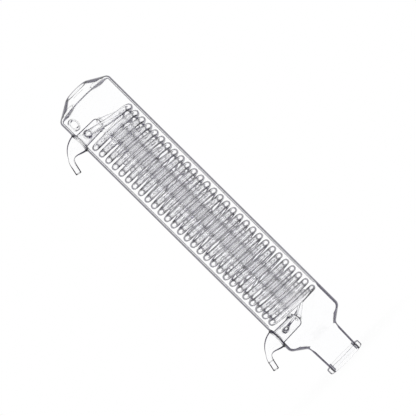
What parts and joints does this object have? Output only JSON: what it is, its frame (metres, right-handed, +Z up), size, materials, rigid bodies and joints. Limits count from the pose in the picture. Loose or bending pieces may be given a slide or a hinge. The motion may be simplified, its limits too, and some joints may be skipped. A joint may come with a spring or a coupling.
{
  "type": "rotary evaporator condenser",
  "caption": "Vertical glass condenser with a domed barrel, nested cooling coils inside, bent hose arms, a vacuum stub and a flanged open mouth.",
  "frame": {"origin": "centre of the ground face of the mouth flange, on the barrel's axis", "axes": "+Z up along the barrel's axis from the mouth to the crown, both hose arms point to -X, the vacuum stub is on the -X, +Y side"},
  "size_m": [0.1225, 0.09, 0.497],
  "materials": {
    "shell_glass": "clear polished",
    "flange_glass": "clear with a finely ground end face",
    "coil_glass": "clear polished"
  },
  "bodies": {
    "root": {"jacket": "shell_glass", "mouth_flange": "flange_glass", "upper_hose_arm": "shell_glass", "lower_hose_arm": "shell_glass", "upper_chamber": "coil_glass", "lower_chamber": "coil_glass", "outer_coil": "coil_glass", "middle_coil": "coil_glass", "inner_coil": "coil_glass", "vacuum_port": "shell_glass"}
  },
  "joints": []
}
